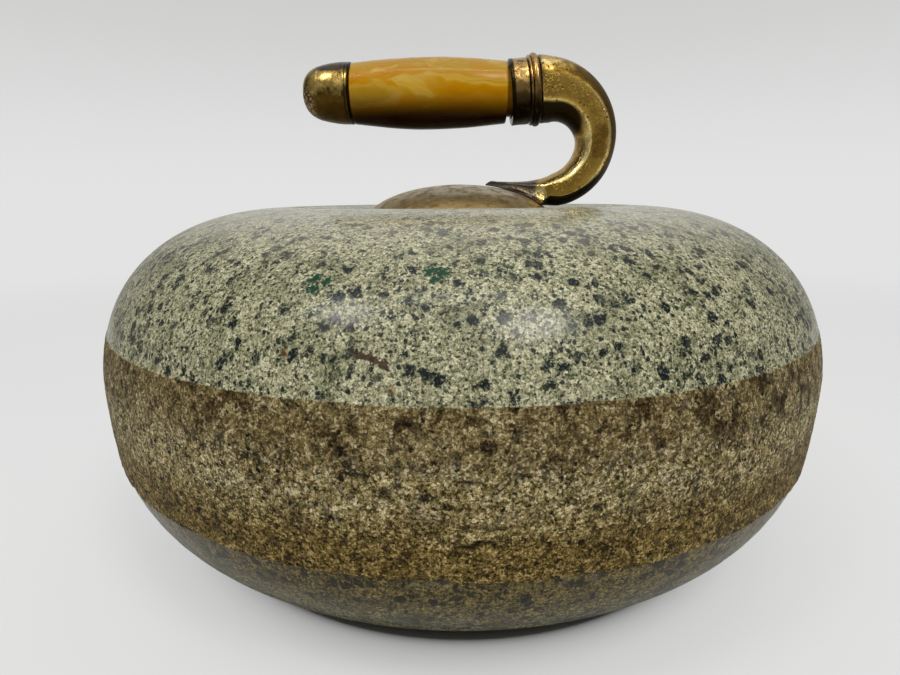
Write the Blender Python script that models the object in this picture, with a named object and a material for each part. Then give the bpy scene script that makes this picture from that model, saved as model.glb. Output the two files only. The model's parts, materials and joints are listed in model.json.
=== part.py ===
"""Curling stone with a gooseneck handle that unscrews.

A granite body with a running band and a shallow cup on both faces, and a striking band
round its waist. A square-headed bolt comes up through its centre, and the handle's domed
base screws down on it. The grip is a barrel on a steel tang, held by a screwed end cap.

Frame: metres, +Z up. The origin is on the ice, at the centre of the lower running band.
The grip points along -X and the gooseneck bends round on the +X side.
"""

import math
from collections import namedtuple

import bmesh
import bpy
from mathutils import Matrix, Vector

GAP = 0.0003  # between neighbouring pieces

# Right-handed 55 degree threads. Phase is the height of the ridge's middle at angle 0.
Thread = namedtuple("Thread", "pitch crest_r root_r crest_w phase")
THREAD_FLANK = math.radians(27.5)
THREAD_CLEARANCE = 0.00025  # radial, and the nut's ridge is also this much slimmer
THREAD_STEPS = 20  # per turn
THREAD_LEAD_IN = 2.5  # turns that a tapped thread's cutter starts outside its mouth
THREAD_ROOTED = 0.002  # length of a threaded end that is let into its plain shank

# Granite body
STONE_R = 0.142  # widest, on the striking band
STONE_H = 0.1285
CREST_R = 0.068  # where the rounded side reaches the running band
SIDE_POWER = 2.42  # superellipse exponent of the rounded side
RUNNING_BAND_IN = 0.066
RUNNING_BAND_OUT = 0.071
CUP_DEPTH = 0.006
BAND_TOP_Z = 0.088
BAND_TOP_R = 0.1393
BAND_WIDEST_Z = 0.0700
BAND_LOW_Z = 0.0445
BAND_LOW_R = 0.1407
BOLT_HOLE_R = 0.008
RECESS_SIDE = 0.028  # square countersink at both ends of the bolt hole
RECESS_DEPTH = 0.014  # below the middle of the cup

# Bolt and its packing, in the lower recess
BOLT_R = 0.00635
BOLT_HEAD_SIDE = 0.024
BOLT_HEAD_H = 0.008
BOLT_TIP_Z = 0.1265
BOLT_THREAD_Z = 0.1060  # the plain shank ends here
SHANK_IN_HEAD = 0.004
BOLT_THREAD = Thread(0.0254 / 12, BOLT_R, 0.00525, 0.0003, 0.0)
WASHER_SIDE = 0.026
WASHER_T = 0.002
PACKING_T = 0.0025

# Domed base of the handle
DOME_R = 0.042  # half axes of its ellipse
DOME_RISE = 0.0179
DOME_MID_Z = 0.1196
DOME_RIM_Z = 0.1264
DOME_WALL = 0.003
BOSS_R = 0.011
BOSS_LOW_Z = 0.1115
BOSS_BORE_TOP_Z = 0.131
SEAT_RING_IN = 0.033
SEAT_RING_OUT = 0.0386

# Gooseneck: round the arc from the collar down to the foot on the dome
NECK_MOUTH_X = 0.0335
NECK_MOUTH_Z = 0.1756
NECK_MOUTH_R = 0.01335
NECK_ARC_X = 0.0384
NECK_ARC_Z = 0.1553
NECK_FLAT = 0.90  # the sides are dressed flat at this share of the half width
# Sections of the arc, by the angle above its centre: half thickness, half width, arc radius
ArcStation = namedtuple("ArcStation", "degrees half_thick half_wide radius")
NECK_ARC = (
    ArcStation(90, 0.01290, 0.01300, 0.0202),
    ArcStation(45, 0.01035, 0.01130, 0.0198),
    ArcStation(0, 0.00845, 0.01060, 0.0200),
    ArcStation(-45, 0.00780, 0.01050, 0.0203),
    ArcStation(-80, 0.00700, 0.01035, 0.0206),
)
# Sections of the foot, towards its tip: height and half width of its top, half width where
# it meets the dome, and how far the top is crowned
FootStation = namedtuple("FootStation", "x top_z top_wide low_wide crown")
FOOT = (
    FootStation(0.0370, 0.1401, 0.0088, 0.0098, 0.0032),
    FootStation(0.0335, 0.1392, 0.0074, 0.0122, 0.0024),
    FootStation(0.0300, 0.1388, 0.0065, 0.0094, 0.0016),
    FootStation(0.0240, 0.1385, 0.0052, 0.0078, 0.0009),
    FootStation(0.0190, 0.1385, 0.0038, 0.0046, 0.0006),
    FootStation(0.0150, 0.1387, 0.0026, 0.0030, 0.0004),
    FootStation(0.0132, 0.1386, 0.0022, 0.0026, 0.0004),
    FootStation(0.0118, 0.1376, 0.0016, 0.0022, 0.0003),
)
FOOT_DEPTH = 0.0068  # half the height of a foot section before it is fitted to the dome

# The collar sits square on the neck's mouth, and falls away from level by this angle
COLLAR_DROP = math.radians(5.2)
BEAD_START = 0.0004
BEAD_END = 0.0044
BEAD_R = 0.0143
FERRULE_START = 0.0047
FERRULE_END = 0.0120
FERRULE_R = 0.0129
FERRULE_RIM_R = 0.0131
FERRULE_FLOOR = 0.0020
COLLAR_BORE_R = 0.0060  # clears the level tang, which crosses the collar at a slant

# Level pieces on the grip's axis, as distances from the middle of the neck's mouth
GRIP_AXIS_Z = 0.1748
ROD_R = 0.00476
ROD_IN_NECK = 0.012
ROD_END = 0.0935
ROD_THREAD_START = 0.0810
ROD_THREAD = Thread(0.0254 / 16, ROD_R, 0.00396, 0.0002, 0.0)
ROD_BORE_R = 0.0052
GRIP_START = 0.0136
GRIP_END = 0.0776
GRIP_NECK_R = 0.0122
GRIP_CAP_R = 0.0120
GRIP_SWELL = 0.0020  # of the barrel's middle over its ends
SPIGOT_R = 0.0097
SPIGOT_L = 0.0050
CAP_START = 0.0781
CAP_END = 0.0986
CAP_R = 0.01225
CAP_LENGTH_POWER = 2.2  # exponents of the cap's blunt, slightly tapered outline
CAP_RADIUS_POWER = 0.294
CAP_BORE_END = 0.0960
CUP_BORE_R = 0.0104  # inside the ferrule and the cap, round the grip's spigots

STONE_SEGMENTS = 60
ROUND_SEGMENTS = 32


# --- Scene and materials -------------------------------------------------------------


def clear_scene():
    for obj in list(bpy.data.objects):
        bpy.data.objects.remove(obj)


def material(name, colour, roughness, metallic=0.0):
    mat = bpy.data.materials.new(name)
    mat.use_nodes = True
    shader = mat.node_tree.nodes["Principled BSDF"]
    shader.inputs["Base Color"].default_value = (*colour, 1.0)
    shader.inputs["Roughness"].default_value = roughness
    shader.inputs["Metallic"].default_value = metallic
    mat.diffuse_color = (*colour, 1.0)
    return mat


# --- Modelling helpers ---------------------------------------------------------------


def add_object(name, bm, mat=None, parent=None):
    """Turn a bmesh into a smooth-shaded object whose mesh is in its parent's frame."""
    bmesh.ops.recalc_face_normals(bm, faces=bm.faces)
    mesh = bpy.data.meshes.new(name)
    bm.to_mesh(mesh)
    bm.free()
    mesh.shade_smooth()
    mesh.set_sharp_from_angle(angle=math.radians(35))
    obj = bpy.data.objects.new(name, mesh)
    bpy.context.scene.collection.objects.link(obj)
    obj.parent = parent
    if mat:
        mesh.materials.append(mat)
    return obj


def turned(name, profile, mat=None, parent=None, segments=ROUND_SEGMENTS):
    """Spin (radius, height) points about Z. Ends on the axis close it, else it is a ring."""
    bm = bmesh.new()
    verts = [bm.verts.new((r, 0, z)) for r, z in profile]
    edges = [bm.edges.new(pair) for pair in zip(verts, verts[1:])]
    if profile[0][0] > 0:
        edges.append(bm.edges.new((verts[-1], verts[0])))
    bmesh.ops.spin(
        bm, geom=verts + edges, cent=(0, 0, 0), axis=(0, 0, 1), angle=2 * math.pi,
        steps=segments, use_merge=True,
    )
    bmesh.ops.remove_doubles(bm, verts=bm.verts, dist=1e-6)
    return add_object(name, bm, mat, parent)


def square_bar(name, side, z_low, z_high, mat=None, parent=None, bevel=0.0):
    bm = bmesh.new()
    bmesh.ops.create_cube(bm, size=1)
    size = Matrix.Diagonal((side, side, z_high - z_low, 1))
    centre = Matrix.Translation((0, 0, (z_low + z_high) / 2))
    bmesh.ops.transform(bm, matrix=centre @ size, verts=bm.verts)
    if bevel:
        bmesh.ops.bevel(bm, geom=bm.edges, offset=bevel, segments=1, affect="EDGES")
    return add_object(name, bm, mat, parent)


def round_bar(name, radius, z_low, z_high, mat=None, parent=None, chamfer=0.0):
    profile = [(0, z_high), (radius - chamfer, z_high)]
    if chamfer:
        profile += [(radius, z_high - chamfer), (radius, z_low + chamfer)]
    profile += [(radius - chamfer, z_low), (0, z_low)]
    return turned(name, profile, mat, parent)


def threaded_bar(name, thread, z_low, z_high, clearance=0.0, parent=None):
    """Round bar with a helical ridge that runs out into the core at both ends."""
    turn = THREAD_STEPS
    core = thread.root_r + clearance
    depth = thread.crest_r - thread.root_r
    half_crest = (thread.crest_w + clearance) / 2
    half_root = half_crest + depth * math.tan(THREAD_FLANK)
    margin = half_root + thread.pitch / 8
    first = math.ceil((z_low + margin - thread.phase) / thread.pitch)
    start = thread.phase + first * thread.pitch
    steps = int((z_high - margin - start) / thread.pitch) * turn

    bm = bmesh.new()

    def vert(angle_step, radius, z):
        angle = 2 * math.pi * angle_step / turn
        return bm.verts.new((radius * math.cos(angle), radius * math.sin(angle), z))

    ridge = []
    for i in range(steps + 1):
        run_out = min(1, (i + 1) * 2 / turn, (steps - i + 1) * 2 / turn)
        crest = core + depth * run_out
        mid = start + thread.pitch * i / turn
        ridge.append([
            vert(i, core, mid - half_root),
            vert(i, crest, mid - half_crest),
            vert(i, crest, mid + half_crest),
            vert(i, core, mid + half_root),
        ])
    low = [vert(i, core, z_low) for i in range(turn)]
    high = [vert(i, core, z_high) for i in range(turn)]

    for near, far in zip(ridge, ridge[1:]):
        for k in range(3):
            bm.faces.new((near[k], far[k], far[k + 1], near[k + 1]))
    for i in range(steps - turn):
        below, above = ridge[i], ridge[i + turn]
        bm.faces.new((below[3], ridge[i + 1][3], ridge[i + turn + 1][0], above[0]))
    # the ridge's two end faces, and the plain core below and above it
    first_end, last_end = ridge[0], ridge[-1]
    bm.faces.new(first_end)
    bm.faces.new(reversed(last_end))
    for i in range(turn):
        j = (i + 1) % turn
        lower = [low[i], low[j], ridge[i + 1][0], ridge[i][0]]
        if j == 0:
            lower[2:2] = [first_end[0], first_end[3]]
        bm.faces.new(lower)
        top = steps - turn + i
        upper = [ridge[top][3], ridge[top + 1][3], high[j], high[i]]
        if i == 0:
            upper += [last_end[3], last_end[0]]
        bm.faces.new(upper)
    bm.faces.new(reversed(low))
    bm.faces.new(high)
    return add_object(name, bm, parent=parent)


def combine(obj, other, operation):
    """Boolean that stays on the object; the other shape becomes a hidden guide."""
    other.hide_render = True
    other.display_type = "WIRE"
    boolean = obj.modifiers.new(other.name, "BOOLEAN")
    boolean.operation = operation
    boolean.solver = "EXACT"
    boolean.object = other


def empty(name, location, rotation=(0, 0, 0), parent=None):
    obj = bpy.data.objects.new(name, None)
    bpy.context.scene.collection.objects.link(obj)
    obj.location = location
    obj.rotation_euler = rotation
    obj.parent = parent
    return obj


def ellipse_z(r, half_width, rise, mid_z):
    return mid_z + rise * math.sqrt(1 - (r / half_width) ** 2)


# --- Granite body, bolt and packing --------------------------------------------------


def side_point(angle):
    """A point of the rounded side; angle is 90 degrees at the crest and 0 at the waist."""
    c, s = math.cos(angle), math.sin(angle)
    r = CREST_R + (STONE_R - CREST_R) * abs(c) ** (2 / SIDE_POWER)
    z = STONE_H / 2 * (1 + math.copysign(abs(s) ** (2 / SIDE_POWER), s))
    return r, z


def side_angle_at_z(z):
    height = z / (STONE_H / 2) - 1
    return math.asin(math.copysign(abs(height) ** (SIDE_POWER / 2), height))


def band_radius(z):
    """The striking band is crowned, and its widest circle is above its middle."""
    if z > BAND_WIDEST_Z:
        share = (z - BAND_WIDEST_Z) / (BAND_TOP_Z - BAND_WIDEST_Z)
        return STONE_R - (STONE_R - BAND_TOP_R) * share**2
    share = (BAND_WIDEST_Z - z) / (BAND_WIDEST_Z - BAND_LOW_Z)
    return STONE_R - (STONE_R - BAND_LOW_R) * share**2


def cup_z(r):
    """Height of the upper cup's surface; the lower cup mirrors it."""
    return STONE_H - CUP_DEPTH * (1 - (r / RUNNING_BAND_IN) ** 2)


def granite_profile():
    def side(start, end, steps=11):
        return [side_point(start + (end - start) * i / steps) for i in range(steps + 1)]

    crest = math.radians(84)  # the polish starts just outside the running band
    upper = side(crest, side_angle_at_z(BAND_TOP_Z))
    lower = side(side_angle_at_z(BAND_LOW_Z), -crest)
    band_steps = 6
    shoulder = 0.0004  # height of the step from the polish to the band
    heights = [
        BAND_TOP_Z - shoulder + (BAND_LOW_Z - BAND_TOP_Z + 2 * shoulder) * i / band_steps
        for i in range(band_steps + 1)
    ]
    band = [(band_radius(z), z) for z in heights]
    cup_steps = 5
    cup_radii = [
        RUNNING_BAND_IN + (BOLT_HOLE_R - RUNNING_BAND_IN) * i / cup_steps
        for i in range(cup_steps + 1)
    ]
    upper_cup = [(r, cup_z(r)) for r in reversed(cup_radii)]
    lower_cup = [(r, STONE_H - cup_z(r)) for r in cup_radii]
    return (
        upper_cup
        + [(RUNNING_BAND_OUT, STONE_H)]
        + upper
        + band
        + lower
        + [(RUNNING_BAND_OUT, 0)]
        + lower_cup
    )


def make_granite_body():
    granite = material("granite", (0.33, 0.34, 0.26), 0.25)
    body = turned("granite_body", granite_profile(), granite, segments=STONE_SEGMENTS)
    floor = STONE_H - CUP_DEPTH - RECESS_DEPTH
    combine(body, square_bar("upper_recess", RECESS_SIDE, floor, STONE_H), "DIFFERENCE")
    combine(body, square_bar("lower_recess", RECESS_SIDE, 0, STONE_H - floor), "DIFFERENCE")


def make_bolt_and_packing():
    steel = material("bolt_steel", (0.20, 0.18, 0.16), 0.55, 1.0)
    leather = material("packing_leather", (0.16, 0.09, 0.05), 0.85)
    recess_top = CUP_DEPTH + RECESS_DEPTH

    packing_top = recess_top - GAP
    packing_low = packing_top - PACKING_T
    washer_top = packing_low - GAP
    washer_low = washer_top - WASHER_T
    head_top = washer_low - GAP
    for name, low, top, mat in (
        ("bolt_packing", packing_low, packing_top, leather),
        ("bolt_washer", washer_low, washer_top, steel),
    ):
        plate = square_bar(name, WASHER_SIDE, low, top, mat)
        hole = round_bar(name + "_hole", BOLT_R + GAP, low - WASHER_T, top + WASHER_T)
        combine(plate, hole, "DIFFERENCE")

    edge = 0.0008
    bolt = square_bar(
        "handle_bolt", BOLT_HEAD_SIDE, head_top - BOLT_HEAD_H, head_top, steel, bevel=edge
    )
    shank = round_bar("bolt_shank", BOLT_R, head_top - SHANK_IN_HEAD, BOLT_THREAD_Z, chamfer=edge)
    combine(bolt, shank, "UNION")
    thread_low = BOLT_THREAD_Z - THREAD_ROOTED
    combine(bolt, threaded_bar("bolt_thread", BOLT_THREAD, thread_low, BOLT_TIP_Z), "UNION")


# --- Handle base ---------------------------------------------------------------------


def dome_profile():
    steps = 14
    rim_r = DOME_R * math.sqrt(1 - ((DOME_RIM_Z - DOME_MID_Z) / DOME_RISE) ** 2)
    inner_r = DOME_R - DOME_WALL
    inner_rise = DOME_RISE - DOME_WALL
    inner_rim_r = inner_r * math.sqrt(1 - ((DOME_RIM_Z - DOME_MID_Z) / inner_rise) ** 2)

    outer_end = math.asin(rim_r / DOME_R)
    outer = [
        (DOME_R * math.sin(outer_end * i / steps),
         DOME_MID_Z + DOME_RISE * math.cos(outer_end * i / steps))
        for i in range(steps + 1)
    ]
    inner_steps = 8
    inner = []
    for i in range(inner_steps + 1):
        r = inner_rim_r + (BOSS_R - inner_rim_r) * i / inner_steps
        inner.append((r, ellipse_z(r, inner_r, inner_rise, DOME_MID_Z)))
    chamfer = 0.0008
    boss = [
        (BOSS_R, BOSS_LOW_Z + chamfer),
        (BOSS_R - chamfer, BOSS_LOW_Z),
        (0, BOSS_LOW_Z),
    ]
    return outer + inner + boss


def make_handle_base(handle):
    plate = material("dull_plate", (0.36, 0.32, 0.24), 0.42, 1.0)
    leather = material("seat_leather", (0.13, 0.08, 0.05), 0.85)
    dome = turned("handle_base_dome", dome_profile(), plate, handle, segments=48)
    below_mouth = BOSS_LOW_Z - THREAD_LEAD_IN * BOLT_THREAD.pitch
    bore = threaded_bar(
        "boss_thread", BOLT_THREAD, below_mouth, BOSS_BORE_TOP_Z, THREAD_CLEARANCE, handle
    )
    combine(dome, bore, "DIFFERENCE")

    seat_top = DOME_RIM_Z - GAP
    ring = [
        (SEAT_RING_IN, seat_top),
        (SEAT_RING_OUT, seat_top),
        (SEAT_RING_OUT, cup_z(SEAT_RING_OUT) + GAP),
        (SEAT_RING_IN, cup_z(SEAT_RING_IN) + GAP),
    ]
    turned("dome_seat_ring", ring, leather, segments=48)


# --- Gooseneck -----------------------------------------------------------------------


def dressed_section(half_thick, half_wide, count):
    """Oval with its two sides dressed flat: (inward, sideways) points, anticlockwise."""
    flat = half_wide * NECK_FLAT
    points = []
    for i in range(count):
        angle = 2 * math.pi * i / count
        u = half_thick * math.cos(angle)
        v = half_wide * math.sin(angle)
        points.append((u, min(max(v, -flat), flat)))
    return points


def saddle_section(top_wide, low_wide, crown, count):
    """Foot section: a crowned top whose sides sweep out and down to the dome."""
    shoulder = 0.35  # cosines of the angles at which the top and the sides end
    hem = -0.5
    hollow = 1.6  # exponent of the sides' sweep
    shoulder_sine = math.sqrt(1 - shoulder**2)
    hem_sine = math.sqrt(1 - hem**2)
    points = []
    for i in range(count):
        angle = 2 * math.pi * i / count
        up = math.cos(angle)
        side = math.sin(angle)
        if up > shoulder:
            share = side / shoulder_sine
            u = FOOT_DEPTH - crown * share**2
            v = top_wide * share
        else:
            drop = min((shoulder - up) / (shoulder - hem), 1.0)
            u = FOOT_DEPTH - crown - (2 * FOOT_DEPTH - crown) * drop
            reach = top_wide + (low_wide - top_wide) * drop**hollow
            v = math.copysign(reach, side) if up > hem else low_wide * side / hem_sine
        points.append((u, v))
    return points


def arc_section(degrees):
    """Half thickness, half width and arc radius between the stations."""
    for near, far in zip(NECK_ARC, NECK_ARC[1:]):
        if degrees >= far.degrees:
            break
    share = (near.degrees - degrees) / (near.degrees - far.degrees)
    return tuple(a + (b - a) * share for a, b in zip(near[1:], far[1:]))


def neck_sections(count=28):
    """Rings of points from the collar, round the arc, to the tip of the foot."""
    rings = []

    def add(centre, tilt, points):
        # inward is square to the path, towards the inside of the bend
        inward = Vector((math.cos(tilt), 0, math.sin(tilt)))
        rings.append(
            [centre + inward * u + Vector((0, v, 0)) for u, v in points]
        )

    mouth = Vector((NECK_MOUTH_X, 0, NECK_MOUTH_Z))
    mouth_tilt = COLLAR_DROP - math.pi / 2
    add(mouth, mouth_tilt, dressed_section(NECK_MOUTH_R, NECK_MOUTH_R, count))

    arc_mid = Vector((NECK_ARC_X, 0, NECK_ARC_Z))
    first, last = NECK_ARC[0].degrees, NECK_ARC[-1].degrees
    arc_steps = 15
    for i in range(arc_steps + 1):
        degrees = first + (last - first) * i / arc_steps
        half_thick, half_wide, radius = arc_section(degrees)
        angle = math.radians(degrees)
        centre = arc_mid + radius * Vector((math.cos(angle), 0, math.sin(angle)))
        add(centre, angle + math.pi, dressed_section(half_thick, half_wide, count))

    for foot in FOOT:
        centre = Vector((foot.x, 0, foot.top_z - FOOT_DEPTH))
        section = saddle_section(foot.top_wide, foot.low_wide, foot.crown, count)
        add(centre, math.pi / 2, section)
    return rings


def make_gooseneck(handle, grip_axis):
    brass = material("polished_brass", (0.52, 0.36, 0.12), 0.25, 1.0)
    rings = neck_sections()
    bm = bmesh.new()
    loops = [[bm.verts.new(p) for p in ring] for ring in rings]
    for near, far in zip(loops, loops[1:]):
        for i in range(len(near)):
            j = (i + 1) % len(near)
            bm.faces.new((near[i], near[j], far[j], far[i]))
    bm.faces.new(reversed(loops[0]))
    bm.faces.new(loops[-1])
    neck = add_object("gooseneck", bm, brass, handle)

    # the foot is fitted to the dome, and the tang is screwed into the other end
    steps = 24
    reach = DOME_R + GAP
    rise = DOME_RISE + GAP
    fit = [
        (reach * math.sin(math.pi / 2 * i / steps),
         DOME_MID_Z + rise * math.cos(math.pi / 2 * i / steps))
        for i in range(steps + 1)
    ]
    fit_low = BOSS_LOW_Z  # well below the foot
    fit += [(reach, fit_low), (0, fit_low)]
    combine(neck, turned("foot_fit", fit, parent=handle, segments=64), "DIFFERENCE")
    socket_end = -ROD_IN_NECK - 2 * GAP
    socket = round_bar("tang_socket", ROD_R + GAP, socket_end, BEAD_END, parent=grip_axis)
    combine(neck, socket, "DIFFERENCE")


# --- Pieces on the grip's axis -------------------------------------------------------


def make_collar(collar_axis):
    bronze = material("collar_bronze", (0.34, 0.22, 0.12), 0.32, 1.0)
    steps = 8
    squash = 0.8  # the bead is a little flatter than a half circle
    middle = (BEAD_START + BEAD_END) / 2
    half = (BEAD_END - BEAD_START) / 2
    bead = [
        (BEAD_R - half * squash * (1 - math.sin(math.pi * i / steps)),
         middle + half * math.cos(math.pi * i / steps))
        for i in range(steps + 1)
    ]
    bore = [(COLLAR_BORE_R, BEAD_START), (COLLAR_BORE_R, BEAD_END)]
    turned("collar_bead_ring", bead + bore, bronze, collar_axis)

    cup = [
        (CUP_BORE_R, FERRULE_END),
        (FERRULE_RIM_R, FERRULE_END),
        (FERRULE_R, FERRULE_START),
        (COLLAR_BORE_R, FERRULE_START),
        (COLLAR_BORE_R, FERRULE_START + FERRULE_FLOOR),
        (CUP_BORE_R, FERRULE_START + FERRULE_FLOOR),
    ]
    turned("neck_ferrule", cup, bronze, collar_axis)


def make_tang(grip_axis):
    steel = material("tang_steel", (0.25, 0.23, 0.21), 0.5, 1.0)
    rod = round_bar("tang_rod", ROD_R, -ROD_IN_NECK, ROD_THREAD_START, steel, grip_axis)
    thread_start = ROD_THREAD_START - THREAD_ROOTED
    thread = threaded_bar("rod_thread", ROD_THREAD, thread_start, ROD_END, parent=grip_axis)
    combine(rod, thread, "UNION")


def make_grip(grip_axis):
    amber = material("marbled_resin", (0.60, 0.32, 0.04), 0.18)
    steps = 16
    barrel = []
    for i in range(steps + 1):
        share = i / steps
        along = GRIP_END + (GRIP_START - GRIP_END) * share
        taper = GRIP_CAP_R + (GRIP_NECK_R - GRIP_CAP_R) * share
        barrel.append((taper + GRIP_SWELL * math.sin(math.pi * share), along))
    profile = (
        [(ROD_BORE_R, GRIP_END + SPIGOT_L), (SPIGOT_R, GRIP_END + SPIGOT_L)]
        + [(SPIGOT_R, GRIP_END)]
        + barrel
        + [(SPIGOT_R, GRIP_START), (SPIGOT_R, GRIP_START - SPIGOT_L)]
        + [(ROD_BORE_R, GRIP_START - SPIGOT_L)]
    )
    turned("grip", profile, amber, grip_axis)


def cap_radius(along):
    share = (along - CAP_START) / (CAP_END - CAP_START)
    return CAP_R * (1 - share**CAP_LENGTH_POWER) ** CAP_RADIUS_POWER


def make_end_cap(grip_axis):
    brass = material("worn_brass", (0.50, 0.38, 0.18), 0.3, 1.0)
    steps = 12
    outside = []
    for i in range(steps + 1):
        # closer together towards the blunt end
        along = CAP_START + (CAP_END - CAP_START) * math.cos(math.pi / 2 * i / steps)
        outside.append((cap_radius(along), along))
    cup_floor = GRIP_END + SPIGOT_L + GAP
    inside = [
        (CUP_BORE_R, CAP_START),
        (CUP_BORE_R, cup_floor),
        (0, cup_floor),
    ]
    cap = turned("end_cap", outside + inside, brass, grip_axis)
    before_mouth = cup_floor - THREAD_LEAD_IN * ROD_THREAD.pitch
    bore = threaded_bar(
        "cap_thread", ROD_THREAD, before_mouth, CAP_BORE_END, THREAD_CLEARANCE, grip_axis
    )
    combine(cap, bore, "DIFFERENCE")


def main():
    clear_scene()
    make_granite_body()
    make_bolt_and_packing()
    handle = empty("handle_axis", (0, 0, 0))
    collar_axis = empty(
        "collar_axis",
        (NECK_MOUTH_X, 0, NECK_MOUTH_Z),
        (0, -math.pi / 2 - COLLAR_DROP, 0),
        handle,
    )
    grip_axis = empty(
        "grip_axis", (NECK_MOUTH_X, 0, GRIP_AXIS_Z), (0, -math.pi / 2, 0), handle
    )
    make_handle_base(handle)
    make_gooseneck(handle, grip_axis)
    make_collar(collar_axis)
    make_tang(grip_axis)
    make_grip(grip_axis)
    make_end_cap(grip_axis)


main()
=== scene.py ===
"""Looks of the curling stone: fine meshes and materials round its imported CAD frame.

Every piece is built where its CAD node is and stands for it. Sizes are in metres. Pieces on
the grip's axis have their own frame: Z runs along the grip from the gooseneck to the cap,
X is up and -Y is the side that faces the camera.
"""

import json
from math import (
    acos, asin, ceil, copysign, cos, degrees, dist,
    exp, hypot, pi, radians, sin, sqrt, tan,
)

import bpy
import numpy as np
from mathutils import Matrix, Vector, noise


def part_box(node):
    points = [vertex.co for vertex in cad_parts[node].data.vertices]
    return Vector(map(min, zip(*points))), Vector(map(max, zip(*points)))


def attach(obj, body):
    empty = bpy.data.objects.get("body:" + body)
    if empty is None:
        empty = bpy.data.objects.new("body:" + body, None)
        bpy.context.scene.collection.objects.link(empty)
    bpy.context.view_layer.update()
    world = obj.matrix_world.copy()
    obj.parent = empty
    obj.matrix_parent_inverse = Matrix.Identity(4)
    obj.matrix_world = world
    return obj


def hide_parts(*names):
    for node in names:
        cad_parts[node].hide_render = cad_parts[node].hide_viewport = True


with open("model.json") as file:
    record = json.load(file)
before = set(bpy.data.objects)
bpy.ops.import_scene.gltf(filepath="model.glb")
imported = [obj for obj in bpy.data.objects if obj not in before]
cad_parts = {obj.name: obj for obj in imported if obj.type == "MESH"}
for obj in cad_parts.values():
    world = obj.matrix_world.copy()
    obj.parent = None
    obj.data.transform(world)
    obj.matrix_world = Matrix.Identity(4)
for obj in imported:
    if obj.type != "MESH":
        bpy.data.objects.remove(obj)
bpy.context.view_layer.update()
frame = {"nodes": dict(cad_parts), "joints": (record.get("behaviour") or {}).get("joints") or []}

GAP = 0.0003  # between neighbouring pieces

# Granite body: the driving sizes come from its CAD node
_, STONE_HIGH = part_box("granite_body")
STONE_R = STONE_HIGH.x
STONE_H = STONE_HIGH.z
CREST_R = 0.068  # where the rounded side reaches the running band
SIDE_POWER = 2.42  # superellipse exponent of the rounded side
RUNNING_BAND_IN = 0.066
RUNNING_BAND_OUT = 0.071
CUP_DEPTH = 0.006
BAND_TOP_Z = 0.088
BAND_TOP_R = 0.1393
BAND_WIDEST_Z = 0.07
BAND_LOW_Z = 0.0445
BAND_LOW_R = 0.1407
BOLT_HOLE_R = 0.008
RECESS_HALF = 0.014
RECESS_DEPTH = 0.014
STONE_SEGMENTS, DOME_SEGMENTS, TURNED_SEGMENTS = 800, 192, 160

# Domed base
DOME_LOW, DOME_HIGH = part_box("handle_base_dome")
DOME_R = 0.042  # half axes of its ellipse
DOME_RISE = 0.0179
DOME_MID_Z = DOME_HIGH.z - DOME_RISE
DOME_RIM_Z = 0.1264
DOME_WALL = 0.003
BOSS_R = 0.011
BOSS_BORE_R = 0.0066
BOSS_BORE_TOP_Z = 0.131

# Gooseneck: its mouth, and the middle of its arc
NECK_MOUTH = Vector((0.0335, 0, 0.1756))
NECK_MOUTH_R = 0.01335
NECK_ARC_X = 0.0384
NECK_ARC_Z = 0.1553
COLLAR_DROP = radians(5.2)  # the collar falls away from level by this angle
COLLAR_BORE_R = 0.006
CUP_BORE_R = 0.0104  # inside the ferrule and the cap, round the grip's spigots

# Grip
ROD_HOLE_R = 0.0052
SPIGOT_R = 0.0097
SPIGOT_L = 0.005
GRIP_NECK_R = 0.0122
GRIP_CAP_R = 0.012
GRIP_SWELL = 0.002
CAP_LENGTH_POWER = 2.2  # exponents of the cap's blunt outline
CAP_RADIUS_POWER = 0.294


# --- Numbers ---


def ease(t):
    t = min(max(t, 0.0), 1.0)
    return t * t * (3 - 2 * t)


def srgb(red, green, blue):
    """Linear colour from display values of 0 to 255."""
    return tuple(
        v / 255 / 12.92 if v <= 10 else ((v / 255 + 0.055) / 1.055) ** 2.4
        for v in (red, green, blue)
    )


def through(stations, at):
    """Smooth values at a place, from stations of (place, value, ...) in rising order."""
    table = np.array(stations, float)
    places, values = table[:, 0], table[:, 1:]
    at = min(max(at, places[0]), places[-1])
    i = min(max(int(np.searchsorted(places, at)) - 1, 0), len(places) - 2)
    slopes = np.gradient(values, places, axis=0)
    step = places[i + 1] - places[i]
    t = (at - places[i]) / step
    near = (1 + 2 * t) * (1 - t) ** 2 * values[i] + t * (1 - t) ** 2 * step * slopes[i]
    far = t * t * (3 - 2 * t) * values[i + 1] + t * t * (t - 1) * step * slopes[i + 1]
    return tuple(float(v) for v in near + far)


def fractal(point, size, octaves=3):
    """Noise of about -1 to 1 whose largest lumps are about this size."""
    return noise.fractal(point / size, 1.0, 2.0, octaves)


def axis_frame(start, axis):
    """A frame whose Z runs along the axis and whose Y is level."""
    level = Vector((0, 1, 0))
    axis = Vector(axis).normalized()
    up = level.cross(axis).normalized()
    return Matrix.Translation(start) @ Matrix((up, level, axis)).transposed().to_4x4()


def node_span(node, matrix):
    """A CAD node's lowest and highest Z and its largest radius, in a frame of its own."""
    points = np.array([v.co for v in frame["nodes"][node].data.vertices])
    inverse = np.array(matrix.inverted())
    points = points @ inverse[:3, :3].T + inverse[:3, 3]
    return points[:, 2].min(), points[:, 2].max(), np.hypot(points[:, 0], points[:, 1]).max()


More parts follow.
